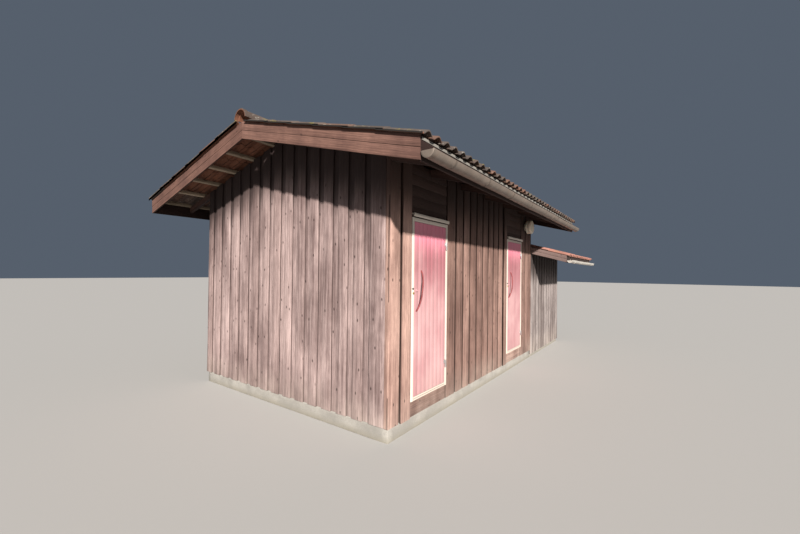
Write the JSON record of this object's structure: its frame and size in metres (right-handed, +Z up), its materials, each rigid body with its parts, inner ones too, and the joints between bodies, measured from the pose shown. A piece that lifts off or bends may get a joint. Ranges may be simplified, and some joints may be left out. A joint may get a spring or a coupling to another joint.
{
  "type": "board-clad lakeside outbuilding",
  "caption": "Low gabled timber outbuilding on a concrete base, with a tiled roof, two outward-opening board doors and a lower tiled annex at one end.",
  "frame": {"origin": "middle of the main foundation's underside, on the ground", "axes": "+X along the ridge towards the annex, +Y from the door side to the back, +Z up"},
  "size_m": [8.15, 5.1016, 3.5875],
  "materials": {
    "concrete": "rough cast concrete",
    "timber": "bare weathered softwood",
    "dark_boards": "faded dark brown stain",
    "annex_boards": "greyed brown stain",
    "cream_paint": "cream paint",
    "rose_paint": "faded rose paint",
    "branch_wood": "peeled branch, dark",
    "hinge_steel": "zinc plated",
    "main_tiles": "weathered clay with lichen",
    "annex_tiles": "red clay",
    "brown_trim": "red-brown stain",
    "gutter_metal": "dull grey-brown",
    "lamp_cream": "matt cream"
  },
  "bodies": {
    "building": {"foundation": "concrete", "floor": "timber", "near_gable_wall": "dark_boards", "far_gable_wall": "dark_boards", "back_wall": "dark_boards", "front_wall_left": "dark_boards", "front_wall_middle": "dark_boards", "front_wall_right": "dark_boards", "door_head_panels": "dark_boards", "door_sill_panels": "dark_boards", "door_drip_boards": "cream_paint", "door_1_frame": "cream_paint", "door_1_hinges": "hinge_steel", "door_2_frame": "cream_paint", "door_2_hinges": "hinge_steel", "rafters": "timber", "roof_battens": "timber", "roof_tiles_front": "main_tiles", "roof_tiles_back": "main_tiles", "ridge_tiles": "main_tiles", "near_bargeboards": "brown_trim", "far_bargeboards": "brown_trim", "fascias": "brown_trim", "gutter": "gutter_metal", "gutter_brackets": "gutter_metal", "wall_lamp": "lamp_cream", "annex_foundation": "concrete", "annex_front_wall": "annex_boards", "annex_back_wall": "annex_boards", "annex_end_wall": "annex_boards", "annex_rafters": "timber", "annex_roof_battens": "timber", "annex_roof_tiles": "annex_tiles", "annex_ridge_tiles": "annex_tiles", "annex_bargeboards": "brown_trim", "annex_fascias": "brown_trim", "annex_gutter": "gutter_metal"},
    "door_1": {"door_1_leaf": "rose_paint", "door_1_handle": "branch_wood", "door_1_hinge_sleeves": "hinge_steel", "door_1_lock": "hinge_steel"},
    "door_2": {"door_2_leaf": "rose_paint", "door_2_handle": "branch_wood", "door_2_hinge_sleeves": "hinge_steel", "door_2_lock": "hinge_steel"}
  },
  "joints": [
    {"name": "door_1_swing", "type": "hinge", "parent": "building", "child": "door_1", "pos_m": [-1.2795, -1.8, 0.598], "axis": [0, 0, 1], "range_deg": [0, 110]},
    {"name": "door_2_swing", "type": "hinge", "parent": "building", "child": "door_2", "pos_m": [1.6795, -1.8, 0.598], "axis": [0, 0, 1], "range_deg": [0, 110]}
  ]
}
